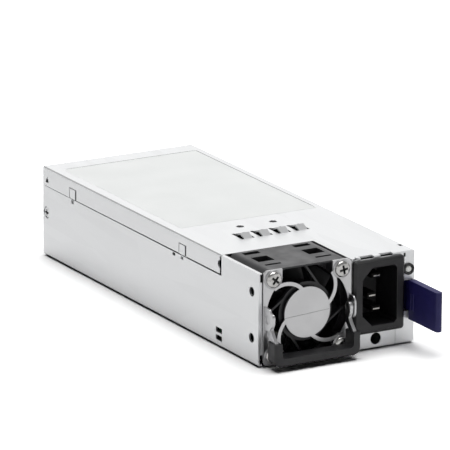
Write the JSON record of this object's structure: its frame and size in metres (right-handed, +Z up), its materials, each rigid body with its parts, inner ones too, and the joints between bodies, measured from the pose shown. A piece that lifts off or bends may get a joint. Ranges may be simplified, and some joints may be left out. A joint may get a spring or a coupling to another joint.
{
  "type": "hot swap server power supply",
  "caption": "Slim plug-in server power supply in a sheet steel case with a fan, a folding pull handle, a mains inlet, a release lever and a card edge at the rear.",
  "frame": {"origin": "centre of the base, on the plane that the case slides on", "axes": "+Y from the front (fan, inlet and handle) to the rear (card edge), +Z up, +X to the right seen from the front"},
  "size_m": [0.0749, 0.2174, 0.0408],
  "materials": {
    "galvanised_sheet": "galvanised, satin",
    "plated_steel": "zinc plated, satin",
    "screw_steel": "nickel plated",
    "fan_plastic": "moulded, satin",
    "rotor_plastic": "moulded, satin",
    "grip_plastic": "moulded, fine grain",
    "inlet_plastic": "moulded, fine grain",
    "lever_plastic": "moulded, satin",
    "blade_metal": "nickel plated",
    "led_plastic": "moulded, glossy",
    "lens_plastic": "translucent",
    "label_film": "printed film, blank",
    "circuit_board": "solder mask",
    "gold_contact": "gold plated",
    "insulator": "film",
    "copper_wire": "enamelled copper",
    "ferrite": "sintered, matt",
    "box_film": "cast box",
    "disc_ceramic": "coated disc",
    "relay_case": "moulded",
    "fuse_sleeve": "clear",
    "chip_plastic": "moulded",
    "can_sleeve": "sleeved can",
    "heatsink": "extruded",
    "magnet": "bonded magnet",
    "bearing_bronze": "sintered"
  },
  "bodies": {
    "case": {"chassis": "galvanised_sheet", "top_cover": "galvanised_sheet", "rear_panel": "galvanised_sheet", "fan_frame": "fan_plastic", "fan_bearing": "bearing_bronze", "fan_stator": "copper_wire", "fan_guard": "plated_steel", "guard_screws": "screw_steel", "guard_washers": "screw_steel", "inlet_housing": "inlet_plastic", "inlet_blades": "blade_metal", "led_holder": "led_plastic", "led_lens": "lens_plastic", "led_board": "circuit_board", "latch_pin": "screw_steel", "latch_torsion_spring": "screw_steel", "latch_bracket": "plated_steel", "main_board": "circuit_board", "edge_contacts": "gold_contact", "board_standoffs": "blade_metal", "board_screws": "screw_steel", "insulating_film": "insulator", "emi_choke": "copper_wire", "x_capacitor": "box_film", "y_capacitors": "disc_ceramic", "fuse": "fuse_sleeve", "relay": "relay_case", "bridge_rectifier": "chip_plastic", "pfc_inductor": "copper_wire", "bulk_capacitor": "can_sleeve", "primary_heatsink": "heatsink", "power_transistors": "chip_plastic", "transformer_core": "ferrite", "transformer_winding": "insulator", "secondary_heatsink": "heatsink", "output_inductor": "copper_wire", "output_capacitors": "can_sleeve", "control_board": "circuit_board", "rating_label": "label_film", "side_screws": "screw_steel"},
    "fan": {"fan_rotor": "rotor_plastic", "fan_magnet": "magnet", "fan_shaft": "screw_steel"},
    "handle": {"handle_arm_left": "plated_steel", "handle_arm_right": "plated_steel", "handle_grip": "grip_plastic"},
    "latch": {"release_lever": "lever_plastic", "latch_arm": "plated_steel"}
  },
  "joints": [
    {"name": "fan_spin", "type": "hinge", "parent": "case", "child": "fan", "pos_m": [-0.01435, -0.0785, 0.02], "axis": [0, 1, 0], "continuous": true},
    {"name": "handle_pivot", "type": "hinge", "parent": "case", "child": "handle", "pos_m": [-0.01435, -0.0957, 0.0203], "axis": [-1, 0, 0], "range_deg": [0, 95]},
    {"name": "release_pivot", "type": "hinge", "parent": "case", "child": "latch", "pos_m": [0.03365, -0.0465, 0.0198], "axis": [0, 0, -1], "range_deg": [0, 2.2], "stiffness_Nm_per_rad": 4.8}
  ]
}
